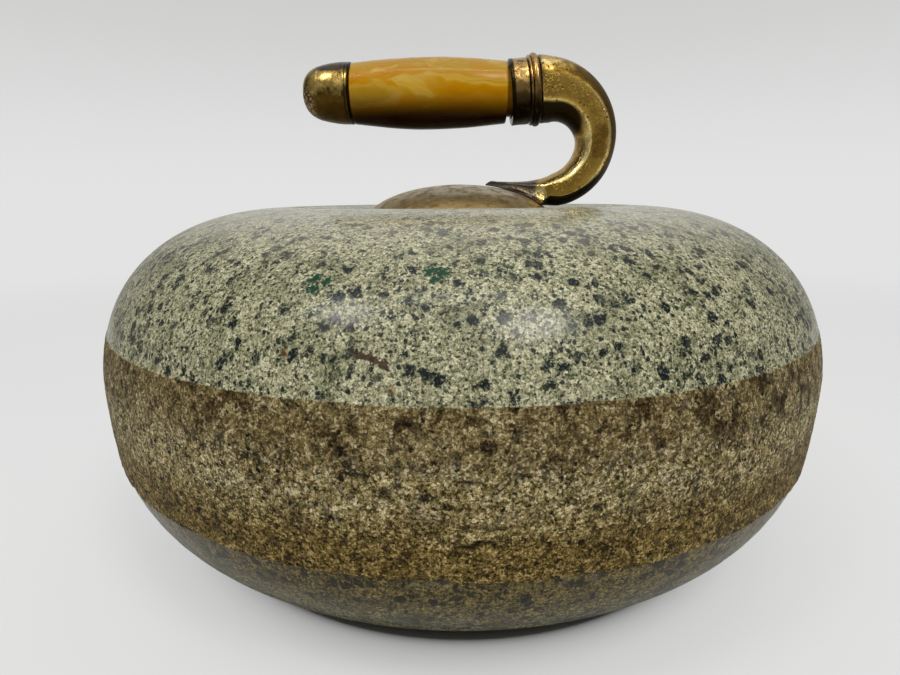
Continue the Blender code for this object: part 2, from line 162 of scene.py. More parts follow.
# The grip's axis is the one that the cap's joint turns about
CAP_JOINT = next(joint for joint in frame["joints"] if joint["name"] == "cap_turn")
GRIP_FRAME = axis_frame(CAP_JOINT["pos_m"], CAP_JOINT["axis"])
COLLAR_FRAME = axis_frame(NECK_MOUTH, (-cos(COLLAR_DROP), 0, -sin(COLLAR_DROP)))


# --- Meshes ---


SHARP_EDGE = radians(40)


def add_piece(name, points, faces, node, body, slot, mat, matrix=None):
    """A smooth-shaded mesh that rides on a CAD body and stands for a CAD node."""
    mesh = bpy.data.meshes.new(name)
    mesh.from_pydata([tuple(p) for p in points], [], faces)
    mesh.validate()
    mesh.shade_smooth()
    mesh.set_sharp_from_angle(angle=SHARP_EDGE)
    mesh.materials.append(mat)
    obj = bpy.data.objects.new(name, mesh)
    bpy.context.scene.collection.objects.link(obj)
    if matrix:
        obj.matrix_world = matrix
    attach(obj, body)
    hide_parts(node)
    return obj


def tube_faces(rows, count, loop):
    """Quads between rings of points. The last ring joins the first if loop is set."""
    faces = []
    for i in range(rows if loop else rows - 1):
        k = (i + 1) % rows
        for j in range(count):
            n = (j + 1) % count
            faces.append((i * count + j, i * count + n, k * count + n, k * count + j))
    return faces


def lathe(profile, count, shift=None):
    """Points and faces of a profile of (radius, height) turned about Z, anticlockwise.

    The profile is a loop, or it starts and ends on the axis. shift(point) moves a point.
    """
    on_axis = profile[0][0] == 0
    rings = profile[1:-1] if on_axis else profile
    points = []
    for r, z in rings:
        for j in range(count):
            angle = 2 * pi * j / count
            points.append(Vector((r * cos(angle), r * sin(angle), z)))
    faces = tube_faces(len(rings), count, not on_axis)
    if on_axis:
        first, last = len(points), len(points) + 1
        points += [Vector((0, 0, profile[0][1])), Vector((0, 0, profile[-1][1]))]
        end = (len(rings) - 1) * count
        for j in range(count):
            n = (j + 1) % count
            faces.append((first, n, j))
            faces.append((last, end + j, end + n))
    if shift:
        points = [shift(p) for p in points]
    return points, faces


def densify(profile, step):
    """The same outline with points no further apart than the step."""
    out = [profile[0]]
    for near, far in zip(profile, profile[1:]):
        pieces = max(1, ceil(dist(near, far) / step))
        for i in range(1, pieces + 1):
            t = i / pieces
            out.append((near[0] + (far[0] - near[0]) * t, near[1] + (far[1] - near[1]) * t))
    return out


# --- Node graphs ---


class Value:
    """A node's output. Arithmetic, | (the larger), > and the methods below add nodes to it."""

    def __init__(self, tree, socket):
        self.tree, self.socket = tree, socket

    def add(self, kind, inputs=None, out=0, **settings):
        """Adds a node, with values or other outputs put on its inputs; returns an output."""
        return Value(self.tree, add_node(self.tree, kind, inputs, **settings).outputs[out])

    def math(self, operation, *inputs):
        return self.add("ShaderNodeMath", dict(enumerate(inputs)), operation=operation)

    def __rsub__(self, other):
        return self.math("SUBTRACT", other, self)

    def __rtruediv__(self, other):
        return self.math("DIVIDE", other, self)

    def span(self, low, high, to_low=0.0, to_high=1.0):
        """The value between low and high, eased to between to_low and to_high."""
        return self.add("ShaderNodeMapRange", {
            "Value": self, "From Min": low, "From Max": high, "To Min": to_low, "To Max": to_high,
        }, interpolation_type="SMOOTHSTEP")

    # Colours are in display values of 0 to 255

    def between(self, near, far, blend="MIX"):
        """From one colour at 0 to another at 1."""
        near, far = (c if isinstance(c, Value) else srgb(*c) for c in (near, far))
        return self.add("ShaderNodeMix", {0: self, 6: near, 7: far}, 2,
                        data_type="RGBA", blend_type=blend)

    def ramp(self, *stops):
        """Colours at places of (place, red, green, blue)."""
        node = add_node(self.tree, "ShaderNodeValToRGB", {"Fac": self})
        elements = node.color_ramp.elements
        while len(elements) < len(stops):
            elements.new(0.5)
        for element, (place, *colour) in zip(elements, stops):
            element.position = place
            element.color = (*srgb(*colour), 1.0)
        return Value(self.tree, node.outputs["Color"])

    def coat(self, share, *colour, blend="MIX"):
        """This colour with some of another laid over it."""
        return self.add("ShaderNodeMix", {0: share, 6: self, 7: srgb(*colour)}, 2,
                        data_type="RGBA", blend_type=blend)

    def stain(self, share, *colour):
        return self.coat(share, *colour, blend="MULTIPLY")

    # Coordinates and patterns in them, by the size of their largest feature in metres

    def vector(self, operation, other, out=0):
        return self.add("ShaderNodeVectorMath", {0: self, 1: other}, out, operation=operation)

    def length(self):
        return self.vector("LENGTH", (0, 0, 0), 1)

    def axes(self):
        node = add_node(self.tree, "ShaderNodeSeparateXYZ", {0: self})
        return [Value(self.tree, socket) for socket in node.outputs]

    def noise(self, size, detail=2.0, roughness=0.5, distortion=0.0, out="Fac"):
        return self.add("ShaderNodeTexNoise", {
            "Vector": self, "Scale": 1 / size, "Detail": detail, "Roughness": roughness,
            "Distortion": distortion,
        }, out)

    def cells(self, size):
        """Distance to the nearest cell's centre, as a share of size, and two random values."""
        node = add_node(self.tree, "ShaderNodeTexVoronoi", {"Vector": self, "Scale": 1 / size})
        chance = add_node(self.tree, "ShaderNodeSeparateColor", {0: node.outputs["Color"]})
        sockets = (node.outputs["Distance"], chance.outputs[0], chance.outputs[1])
        return [Value(self.tree, socket) for socket in sockets]

    def specks(self, size, edge, core, rarity):
        """1 in the middle of some cells: the higher the rarity, the fewer."""
        away, pick, _ = self.cells(size)
        return away.span(edge, core) * (pick > rarity)

    def warped(self, size, amount):
        """Coordinates pushed about by noise of this size."""
        centred = self.noise(size, out="Color").vector("SUBTRACT", (0.5, 0.5, 0.5))
        pushed = self.add("ShaderNodeVectorMath", {0: centred, "Scale": amount}, operation="SCALE")
        return self.vector("ADD", pushed)

    def stretched(self, shares, turn=(0, 0, 0)):
        """Coordinates turned, then scaled on each axis; below 1 draws a pattern out."""
        return self.add(
            "ShaderNodeMapping", {"Vector": self, "Rotation": turn, "Scale": shares}, "Vector"
        )

    def streak(self, start, end, width, ragged=0.5, grain=0.0012):
        """1 on a line between two points, fading out over its ragged edge."""
        line = Vector(end) - Vector(start)
        offset = self.vector("SUBTRACT", start)
        along = offset.vector("DOT_PRODUCT", line / line.length**2, 1)
        share = self.math("MINIMUM", along | 0.0, 1.0)
        foot = self.add("ShaderNodeVectorMath", {0: line, "Scale": share}, operation="SCALE")
        rag = (self.noise(grain, 3) - 0.5) * (width * ragged * 4)
        return (offset.vector("SUBTRACT", foot).length() + rag).span(width, width * 0.55)

    def scratches(self, turn, across=0.0004, along=0.02, amount=0.06):
        """Fine lines whose direction is set by the turn."""
        lines = self.stretched((across / along, 1.0, across / along), turn).noise(across, 1)
        return lines.span(0.7 - amount, 0.74) * self.noise(0.006, 2).span(0.4, 0.6)

    def bump(self, distance):
        return self.add("ShaderNodeBump", {"Distance": distance, "Height": self})


for method, operation in {
    "__add__": "ADD", "__sub__": "SUBTRACT", "__mul__": "MULTIPLY", "__pow__": "POWER",
    "__or__": "MAXIMUM", "__gt__": "GREATER_THAN", "__abs__": "ABSOLUTE",
}.items():
    setattr(Value, method, lambda *values, operation=operation: values[0].math(operation, *values))


def add_node(tree, kind, inputs=None, **settings):
    """A node with settings, and with values, colours or sockets put on its inputs."""
    node = tree.nodes.new(kind)
    for key, value in settings.items():
        setattr(node, key, value)
    for key, value in (inputs or {}).items():
        socket = node.inputs[key]
        if isinstance(value, Value):
            value = value.socket
        if isinstance(value, bpy.types.NodeSocket):
            tree.links.new(value, socket)
        else:
            socket.default_value = (*value, 1.0) if socket.type == "RGBA" else value
    return node


class Material:
    """A material under construction, with its object coordinates and its normal."""

    def __init__(self, name):
        self.mat = bpy.data.materials.new(name)
        self.mat.use_nodes = True
        self.tree = self.mat.node_tree
        coords = add_node(self.tree, "ShaderNodeTexCoord")
        self.at = Value(self.tree, coords.outputs["Object"])
        self.facing = Value(self.tree, coords.outputs["Normal"])

    def finish(self, colour, roughness, normal=None, metallic=0.0, shine=None):
        values = {"Base Color": colour, "Roughness": roughness, "Metallic": metallic,
                  "Normal": normal, "Specular IOR Level": shine}
        shader = self.tree.nodes["Principled BSDF"]
        for key, value in values.items():
            if isinstance(value, Value):
                self.tree.links.new(value.socket, shader.inputs[key])
            elif value is not None:
                shader.inputs[key].default_value = value
        return self.mat


# --- Granite body ---


def side_point(angle):
    """A point of the rounded side; angle is 90 degrees at the crest and 0 at the waist."""
    c, s = cos(angle), sin(angle)
    r = CREST_R + (STONE_R - CREST_R) * abs(c) ** (2 / SIDE_POWER)
    z = STONE_H / 2 * (1 + copysign(abs(s) ** (2 / SIDE_POWER), s))
    return r, z


def side_angle_at_z(z):
    height = z / (STONE_H / 2) - 1
    return asin(copysign(abs(height) ** (SIDE_POWER / 2), height))


def side_angle_at_r(r):
    share = (r - CREST_R) / (STONE_R - CREST_R)
    return acos(share ** (SIDE_POWER / 2))


def band_radius(z):
    """The striking band is crowned, and its widest circle is above its middle."""
    if z > BAND_WIDEST_Z:
        share = (z - BAND_WIDEST_Z) / (BAND_TOP_Z - BAND_WIDEST_Z)
        return STONE_R - (STONE_R - BAND_TOP_R) * share**2
    share = (BAND_WIDEST_Z - z) / (BAND_WIDEST_Z - BAND_LOW_Z)
    return STONE_R - (STONE_R - BAND_LOW_R) * share**2


def cup_z(r):
    """Height of the upper cup's surface; the lower cup mirrors it."""
    return STONE_H - CUP_DEPTH * (1 - (r / RUNNING_BAND_IN) ** 2)


def on_side(azimuth, z):
    """A point of the side. Azimuth is in degrees from -Y towards +X."""
    banded = BAND_LOW_Z < z < BAND_TOP_Z
    r = band_radius(z) if banded else side_point(side_angle_at_z(z))[0]
    turn = radians(azimuth)
    return Vector((r * sin(turn), -r * cos(turn), z))


# Bruises knocked out of the band: azimuth, height, half width, half height, depth
BRUISES = (
    (5.6, 0.0722, 0.0016, 0.0012, 0.0007),
    (2.4, 0.056, 0.003, 0.0006, 0.0006),
    (0.6, 0.0548, 0.0024, 0.0006, 0.0005),
    (-5.7, 0.0748, 0.0022, 0.0005, 0.0004),
    (0.9, 0.0712, 0.0026, 0.0007, 0.0005),
    (-9.5, 0.0722, 0.003, 0.0008, 0.0004),
    (13.0, 0.063, 0.0016, 0.0009, 0.0005),
    (16.5, 0.0652, 0.0012, 0.0009, 0.0006),
    (-21.0, 0.0735, 0.0014, 0.001, 0.0005),
    (-53.5, 0.0676, 0.0014, 0.0034, 0.0007),
    (-55.0, 0.083, 0.0016, 0.003, 0.0005),
    (54.0, 0.064, 0.002, 0.0026, 0.0005),
    (49.0, 0.059, 0.0016, 0.0012, 0.0006),
    (118.0, 0.07, 0.003, 0.0024, 0.0007),
    (171.0, 0.061, 0.004, 0.0016, 0.0006),
    (203.0, 0.078, 0.002, 0.0014, 0.0006),
    (256.0, 0.066, 0.0024, 0.0022, 0.0006),
)


def inner_rows():
    """Upper half of the middle: hole, square recess and cup, as (radius, height, square)."""
    floor = STONE_H - CUP_DEPTH - RECESS_DEPTH
    edge = 0.0005
    rows = [
        (BOLT_HOLE_R, floor - edge, 0.0),
        (BOLT_HOLE_R + edge, floor, 0.0),
        (RECESS_HALF - edge, floor, 1.0),
        (RECESS_HALF, floor + edge, 1.0),
        (RECESS_HALF, cup_z(RECESS_HALF) - edge, 1.0),
        (RECESS_HALF + edge, None, 1.0),
    ]
    rows += [(r, None, square) for r, square in (
        (0.018, 0.6), (0.022, 0.2), (0.028, 0.0), (0.036, 0.0), (0.044, 0.0),
        (0.052, 0.0), (0.059, 0.0), (0.064, 0.0))]
    return rows


def granite_rows():
    """The whole outline, from the upper hole round the outside to the lower hole.

    Each row is (radius, height, square, band); a height of None follows the cup. Square is 1
    where the recess makes the outline square, and band is 1 on the rough striking band.
    """
    inner = [(r, z, square, 0.0) for r, z, square in inner_rows()]
    track = [(r, STONE_H, 0.0, 0.0) for r in (RUNNING_BAND_IN, 0.0672, 0.0698)]

    def polish(start, end, steps):
        return [
            (*side_point(start + (end - start) * i / steps), 0.0, 0.0)
            for i in range(steps + 1)
        ]

    crest = side_angle_at_r(RUNNING_BAND_OUT)
    upper = polish(crest, side_angle_at_z(BAND_TOP_Z), 27)
    lower = polish(side_angle_at_z(BAND_LOW_Z), -crest, 19)
    step = 0.0003
    band_rows = 39
    top, low = BAND_TOP_Z - step, BAND_LOW_Z + step
    heights = [top + (low - top) * i / band_rows for i in range(band_rows + 1)]
    band = [(band_radius(z), z, 0.0, 1.0) for z in heights]

    def mirrored(rows):
        return [
            (r, None if z is None else STONE_H - z, square, share)
            for r, z, square, share in reversed(rows)
        ]

    half = inner + track
    return half + upper + band + lower + mirrored(half)


def square_reach(angle):
    """How far a unit square's side is from its centre, at this angle."""
    return 1 / max(abs(cos(angle)), abs(sin(angle)))


def pit_depth(point):
    """Scattered pits of the striking band: depth from 0 to 1."""
    depth = 0.0
    for size, chance in ((0.0105, 0.42), (0.0062, 0.3)):
        distances, centres = noise.voronoi(point / size)
        pick = noise.cell(centres[0] * 7.31)
        if abs(pick) < chance:
            reach = 0.13 + 0.1 * abs(noise.cell(centres[0] * 3.17))
            wobble = 0.06 * noise.noise(point / 0.0012)
            depth = max(depth, ease((reach - distances[0] + wobble) / 0.07))
    return depth


def bruise_depth(azimuth, z, wobble):
    """Depth in metres of the named bruises, and how far into one the point is."""
    deepest, inside = 0.0, 0.0
    for centre, height, half_wide, half_high, depth in BRUISES:
        turn = (azimuth - centre + 180) % 360 - 180
        across = radians(turn) * STONE_R / half_wide
        up = (z - height) / half_high
        if abs(across) < 2 and abs(up) < 2:
            share = ease((1.25 - hypot(across, up) + wobble) / 0.6)
            if share * depth > deepest:
                deepest, inside = share * depth, share
    return deepest, inside


def make_granite_body():
    rows = granite_rows()
    count = STONE_SEGMENTS
    points, band_mask, pits = [], [], []
    middle = len(rows) / 2
    for i, (r, z, square, banded) in enumerate(rows):
        for j in range(count):
            angle = 2 * pi * j / count
            azimuth = degrees(angle) + 90
            reach = r * (1 + (square_reach(angle) - 1) * square)
            if z is None:
                height = cup_z(reach) if i < middle else STONE_H - cup_z(reach)
            else:
                height = z
            around = Vector((cos(angle), sin(angle), 0))
            pit = 0.0
            if r > CREST_R:
                # the polish and the band meet along a slightly wandering, chipped line
                ring = around * STONE_R
                edge_top = 0.00035 * fractal(ring, 0.02) + 0.00022 * fractal(ring, 0.0035)
                edge_low = 0.0005 * fractal(ring * 1.3, 0.024) + 0.0003 * fractal(ring, 0.004)
                near_top = exp(-(((height - BAND_TOP_Z) / 0.0025) ** 2))
                near_low = exp(-(((height - BAND_LOW_Z) / 0.003) ** 2))
                height += edge_top * near_top + edge_low * near_low
            if banded:
                at = around * reach + Vector((0, 0, height))
                wobble = 0.5 * noise.noise(at / 0.0016)
                bruise, inside = bruise_depth(azimuth, height, wobble)
                pit = pit_depth(at)
                worn = 0.6 + 0.4 * ease((0.078 - height) / 0.006)
                reach += worn * (0.00011 * fractal(at, 0.007) + 0.00009 * fractal(at, 0.0022))
                reach -= 0.00035 * pit * worn + bruise
                chip = ease((fractal(around * STONE_R, 0.012) - 0.35) / 0.2)
                edge = min(BAND_TOP_Z - height, height - BAND_LOW_Z)
                reach -= 0.00045 * chip * ease(1 - edge / 0.0016)
                reach = min(reach, STONE_R + 0.0001)
                pit = max(pit * 0.8, inside)
            points.append(around * reach + Vector((0, 0, height)))
            band_mask.append(float(banded))
            pits.append(pit)
    faces = [face[::-1] for face in tube_faces(len(rows), count, loop=True)]
    body = add_piece(
        "granite_body_ground", points, faces, "granite_body", "stone", "granite",
        granite_material(),
    )
    for name, values in (("striking_band", band_mask), ("pit", pits)):
        attribute = body.data.attributes.new(name, "FLOAT", "POINT")
        attribute.data.foreach_set("value", values)


def granite_material():
    m = Material("ground_granite")
    at = m.at
    height = at.axes()[2]
    band, pit = (
        at.add("ShaderNodeAttribute", out="Fac", attribute_name=name)
        for name in ("striking_band", "pit")
    )

    # crystals well under a millimetre across, from dark olive to pale cream
    crystal = at.warped(0.0007, 0.0005).cells(0.00064)[1]
    fine = at.noise(0.00042, 2, 0.65)
    feldspar = (crystal * 0.56 + fine.span(0.32, 0.68) * 0.44).ramp(
        (0.08, 28, 34, 22),
        (0.25, 92, 96, 70),
        (0.44, 142, 140, 108),
        (0.64, 173, 169, 135),
        (0.9, 222, 217, 185),
    )
    clouds = at.noise(0.009, 3)
    feldspar = feldspar.stain(clouds.span(0.44, 0.68, 0.0, 0.45), 142, 148, 118)

    # blue-black mica: ragged blotches that gather in groups, small specks and dust
    ragged = at.warped(0.0022, 0.0034).warped(0.0006, 0.0015)
    blotch_away, blotch_pick, blotch_size = ragged.cells(0.0034)
    chosen = blotch_pick > at.noise(0.014, 2).span(0.38, 0.62, 0.74, 0.3)
    inside = blotch_size.span(0.0, 1.0, 0.26, 0.52) - blotch_away
    grain_gap = at.noise(0.0006, 2).span(0.34, 0.5, 0.38, 1.0)
    deep = at.noise(0.0055, 1).span(0.34, 0.5, 0.45, 1.0)
    haze = inside.span(-0.16, 0.06) * chosen * grain_gap
    blotch = inside.span(-0.04, 0.08) * chosen * (deep * grain_gap)
    speck = at.warped(0.0008, 0.0009).specks(0.0019, 0.36, 0.25, 0.62)
    dust = at.specks(0.001, 0.44, 0.3, 0.8)
    mica = blotch | (speck * 0.92 | dust * 0.8)
    mica_colour = at.noise(0.0016, 1).between((2, 8, 12), (26, 36, 38))
    polished = feldspar.stain(haze * 0.75, 112, 124, 124)
    under = height.span(BAND_LOW_Z + 0.004, BAND_LOW_Z + 0.001)
    polished = (mica * under.span(0.0, 1.0, 1.0, 0.85)).between(polished, mica_colour)

    # brown scuff, rust spots and flecks of green paint
    scuff = at.streak(on_side(-10.2, 0.0986), on_side(-6.8, 0.0962), 0.0011, 1.0)
    polished = polished.coat(scuff * 0.92, 62, 42, 30)
    for azimuth, z, wide, strength in ((-17.3, 0.0966, 0.0009, 0.5), (-6.1, 0.0906, 0.0008, 0.6)):
        spot = at.streak(on_side(azimuth, z), on_side(azimuth, z + 0.0012), wide, 0.6)
        polished = polished.coat(spot * strength, 110, 78, 30)
    paint = None
    for azimuth, z, wide in (
        (-16.9, 0.1128, 0.0016), (-16.5, 0.1106, 0.0016), (-15.2, 0.1124, 0.0014),
        (-3.4, 0.1148, 0.0019), (-2.2, 0.1145, 0.0023), (-2.8, 0.1132, 0.0012),
    ):
        dab = at.streak(
            on_side(azimuth, z), on_side(azimuth + 0.3, z + 0.0004), wide, 0.8, 0.0008
        )
        paint = paint | dab if paint else dab
    polished = polished.coat(paint, 0, 58, 30)

    # below the band the polish is darkened as painted shade of the stone's underside; it is also
    # brown, dull and scored by fine slanting scratches
    polished = (under * 0.5).between(polished, polished, "MULTIPLY")
    pepper = at.warped(0.0006, 0.0006).specks(0.0011, 0.46, 0.3, 0.62)
    polished = polished.coat(under * pepper * 0.8, 30, 27, 18)
    down = height + at.noise(0.008, 4, 0.65) * 0.012
    tint = down.span(0.048, 0.024).between((198, 178, 132), (212, 206, 184))
    polished = under.between(polished, tint, "MULTIPLY")
    polished = polished.coat(under * 0.06, 112, 98, 66)
    scored = at.scratches((0, 0.6, 0.3), 0.0005, 0.012, 0.14)
    polished = polished.coat(under * scored * 0.8, 44, 35, 24)

    # the band is ground rough, and has turned brown with handling
    upper_half = (height + clouds * 0.006).span(0.073, 0.079)
    grains = crystal * 0.45 + fine.span(0.25, 0.75) * 0.4
    mottle = at.noise(0.003, 4, 0.7).span(0.28, 0.72)
    earth = (grains + mottle * 0.3).ramp(
        (0.18, 20, 16, 4),
        (0.37, 74, 64, 32),
        (0.56, 130, 115, 70),
        (0.74, 178, 161, 112),
        (0.94, 244, 232, 192),
    )
    earth = (upper_half * 0.8).between(earth, earth.coat(0.4, 100, 84, 60))
    earth = earth.coat(mica * 0.66, 38, 35, 28)
    # brown stains under the upper edge, and an olive tinge towards the lower one
    drips = at.stretched((1.0, 1.0, 0.75)).noise(0.0062, 4, 0.7)
    earth = earth.stain(drips.span(0.5, 0.6) * (upper_half * 0.7 + 0.2), 130, 114, 90)
    broad = at.noise(0.02, 3, 0.6)
    earth = earth.stain(broad.span(0.42, 0.62, 0.0, 0.36), 188, 172, 138)
    low_stain = height + clouds * 0.008
    earth = earth.stain(low_stain.span(0.068, 0.056, 0.0, 0.75), 196, 176, 118)
    # the crushed zone is peppered with fresh pale grains and with holes painted near-black as
    # their shade
    crushed_at = height.span(0.0775, 0.073) * height.span(0.059, 0.067)
    crumb = at.warped(0.0012, 0.0012).warped(0.0005, 0.0007).specks(0.0009, 0.6, 0.3, 0.58)
    fresh = crumb * at.noise(0.009, 3, 0.6).span(0.36, 0.6)
    earth = earth.coat(fresh * crushed_at * 0.6, 218, 208, 176)
    fleck = at.warped(0.0008, 0.0014).specks(0.0013, 0.36, 0.16, 0.88)
    earth = earth.coat(fleck * crushed_at * 0.85, 230, 224, 198)
    hole_away, hole_pick, _ = at.warped(0.0013, 0.0018).cells(0.0026)
    holes = hole_away.span(0.3, 0.16) * (hole_pick > 0.66)
    # painted shade: holes and pits, and chips in the polish below the band, are painted near-black
    chips = holes * (hole_pick > 0.9) * under
    polished = polished.coat(chips * 0.92, 12, 8, 3)
    earth = earth.coat(holes * 0.92 | pit * 0.88, 12, 8, 3)

    # the running bands are dull, and the upward faces are lightened by dust and by a painted sheen
    # of the bright backdrop
    colour = band.between(polished, earth)
    from_axis = at.stretched((1, 1, 0)).length()
    track = from_axis.span(0.0655, 0.0662) * from_axis.span(0.0714, 0.0707)
    colour = colour.coat(track * 0.5, 176, 172, 150)
    # dust and a painted sheen on the faces that look up
    facing_up = m.facing.axes()[2]
    colour = colour.coat(facing_up.span(0.8, 0.97, 0.0, 0.2), 198, 193, 176)

    gloss = at.noise(0.004, 3).span(0.3, 0.7, 0.2, 0.29) + mica * -0.04 + under * 0.03
    matte = band | track
    roughness = gloss * (1.0 - matte) + matte * 0.62
    relief = crystal * 0.4 + (at.noise(0.0011, 3, 0.6) + (holes | fleck) * -0.5)
    normal = (relief * (matte * 0.97 + 0.03)).bump(0.00035)
    shine = (matte | under * 0.75).span(0.0, 1.0, 0.28, 0.08)
    return m.finish(colour, roughness, normal, shine=shine)


# --- Handle base ---


def dome_z(r, proud=0.0):
    share = min(r / (DOME_R + proud), 1.0)
    return DOME_MID_Z + (DOME_RISE + proud) * sqrt(1 - share**2)


def make_dome():
    rim_r = DOME_R * sqrt(1 - ((DOME_RIM_Z - DOME_MID_Z) / DOME_RISE) ** 2)
    inner_r, inner_rise = DOME_R - DOME_WALL, DOME_RISE - DOME_WALL
    steps = 70
    outer = [(rim_r * i / steps, dome_z(rim_r * i / steps)) for i in range(steps + 1)]
    turn = 0.0004  # the rim's edges are rounded
    inner = []
    inner_rim = inner_r * sqrt(1 - ((DOME_RIM_Z - DOME_MID_Z) / inner_rise) ** 2)
    for i in range(21):
        r = inner_rim + (BOSS_R - inner_rim) * i / 20
        inner.append((r, DOME_MID_Z + inner_rise * sqrt(1 - (r / inner_r) ** 2)))
    boss = [
        (BOSS_R, DOME_LOW.z + turn * 2),
        (BOSS_R - turn * 2, DOME_LOW.z),
        (BOSS_BORE_R, DOME_LOW.z),
        (BOSS_BORE_R - turn, DOME_LOW.z + turn),
        (BOSS_BORE_R - turn, BOSS_BORE_TOP_Z - turn),
        (0, BOSS_BORE_TOP_Z),
    ]
    rim = [(rim_r - turn, DOME_RIM_Z), (inner_rim + turn, DOME_RIM_Z)]
    profile = outer[:-1] + [(rim_r, DOME_RIM_Z + turn)] + rim + inner[1:] + boss

    def dented(p):
        if p.length < 1e-6 or p.z < DOME_RIM_Z - 0.0005:
            return p
        return p + Vector((0, 0, 0.00006 * fractal(p, 0.012, 2)))

    points, faces = lathe(profile, DOME_SEGMENTS, dented)
    add_piece(
        "base_dome_worn", points, [face[::-1] for face in faces], "handle_base_dome", "handle",
        "dull_plate", plate_material(),
    )


def plate_material():
    m = Material("worn_plate")
    at = m.at
    height = at.axes()[2]
    nickel = at.noise(0.01, 3).between((202, 190, 160), (176, 162, 128))
    brown = at.noise(0.0035, 3).between((186, 162, 112), (138, 116, 70))
    skirt = height.span(0.135, 0.129) + at.noise(0.006, 4, 0.7) * 0.9
    colour = skirt.span(0.6, 1.05, 0.05, 0.95).between(nickel, brown)
    smears = at.noise(0.005, 5, 0.7).span(0.47, 0.6) * height.span(0.14, 0.136)
    colour = colour.coat(smears * 0.75, 116, 92, 52)
    pitted = at.warped(0.001, 0.0008).specks(0.0024, 0.28, 0.12, 0.72)
    colour = colour.coat(pitted * 0.7, 70, 52, 28)
    rubbed = at.scratches((0.2, 0.4, 0.9), 0.0004, 0.014)
    lines = rubbed | at.scratches((0.3, 0.1, -0.5), 0.0003, 0.01)
    roughness = at.noise(0.005, 3).span(0.3, 0.7, 0.36, 0.52) + lines * 0.12
    relief = at.noise(0.0016, 3) * 0.5 + (pitted | lines) * -0.5
    return m.finish(colour, roughness, relief.bump(0.00007), 1.0)


# --- Gooseneck ---

# Round the arc, by the angle from the bottom up: half thickness, half width, arc radius
NECK_STATIONS = (
    (-80, 0.007, 0.01035, 0.0206),
    (-45, 0.0078, 0.0105, 0.0203),
    (0, 0.00845, 0.0106, 0.02),
    (45, 0.01035, 0.0113, 0.0198),
    (90, 0.0129, 0.013, 0.0202),
)
ARC_SWEEP = NECK_STATIONS[-1][0] - NECK_STATIONS[0][0]
NECK_FLAT = 0.9  # the sides are dressed flat at this share of the half width
FLAT_CROWN = 0.0003  # and are a little proud in their middle
# The foot, from its tip: x, top z, crown, half width of the top, half width on the dome
FOOT_STATIONS = (
    (0.0118, 0.1376, 0.0003, 0.0016, 0.0022),
    (0.0136, 0.1387, 0.0003, 0.0023, 0.0027),
    (0.017, 0.1386, 0.0004, 0.003, 0.0034),
    (0.0205, 0.1385, 0.0006, 0.0042, 0.0055),
    (0.024, 0.1385, 0.0009, 0.0052, 0.0078),
    (0.0275, 0.1386, 0.0013, 0.006, 0.0087),
    (0.0305, 0.1388, 0.0017, 0.0066, 0.0092),
    (0.0325, 0.1391, 0.0021, 0.007, 0.0112),
    (0.034, 0.1394, 0.0025, 0.0076, 0.0124),
    (0.0355, 0.1397, 0.0029, 0.0085, 0.011),
    (0.0368, 0.1401, 0.0032, 0.0088, 0.0092),
    (0.039, 0.1409, 0.0034, 0.0089, 0.0089),
)
ARC_POINTS, FLAT_POINTS = 28, 26  # per quarter of a section


def quarter_path(inner_arc, flat, outer_arc):
    """One side of a section, from the inside of the bend to the outside."""
    def spread(curve, count):
        return [curve(i / count) for i in range(count)]

    return (
        spread(inner_arc, ARC_POINTS)
        + spread(flat, FLAT_POINTS)
        + spread(outer_arc, ARC_POINTS)
        + [outer_arc(1.0)]
    )


def whole_section(side):
    """Mirrors one side's (inward, sideways) points and rounds the section's corners."""
    ring = side + [(u, -v) for u, v in reversed(side[1:-1])]
    points = np.array(ring)
    for _ in range(8):
        points = (np.roll(points, 1, 0) + 2 * points + np.roll(points, -1, 0)) / 4
    return points


def neck_section(half_thick, half_wide):
    """Oval with its two sides dressed flat."""
    flat = half_wide * NECK_FLAT
    edge_angle = asin(NECK_FLAT)
    edge = half_thick * cos(edge_angle)

    def oval(t):
        return half_thick * cos(edge_angle * t), half_wide * sin(edge_angle * t)

    return whole_section(quarter_path(
        oval,
        lambda t: (edge - 2 * edge * t, flat + FLAT_CROWN * 4 * t * (1 - t)),
        lambda t: (-oval(1 - t)[0], oval(1 - t)[1]),
    ))


def foot_section(x, top_z, crown, top_wide, low_wide):
    """Crowned top, concave sides that sweep out to the dome, and a sole fitted to it."""
    heel_z = 0.1284
    fit = GAP

    def sole(y):
        on_dome = dome_z(hypot(x, y), fit) if hypot(x, y) < DOME_R else 0.0
        heel = heel_z + 0.004 * (y / 0.0089) ** 2 * ease((x - 0.034) / 0.005)
        return max(on_dome, heel) if x > 0.033 else on_dome

    low_z = sole(low_wide)
    shoulder_z = top_z - crown
    sweep = 2.6 if x < 0.036 else 1.0

    def top(t):
        return top_z - crown * t**2.2, top_wide * t

    def side(t):
        return (shoulder_z + (low_z - shoulder_z) * t,
                top_wide + (low_wide - top_wide) * t**sweep)

    def bottom(t):
        y = low_wide * (1 - t)
        return sole(y), y

    return whole_section(quarter_path(top, side, bottom))


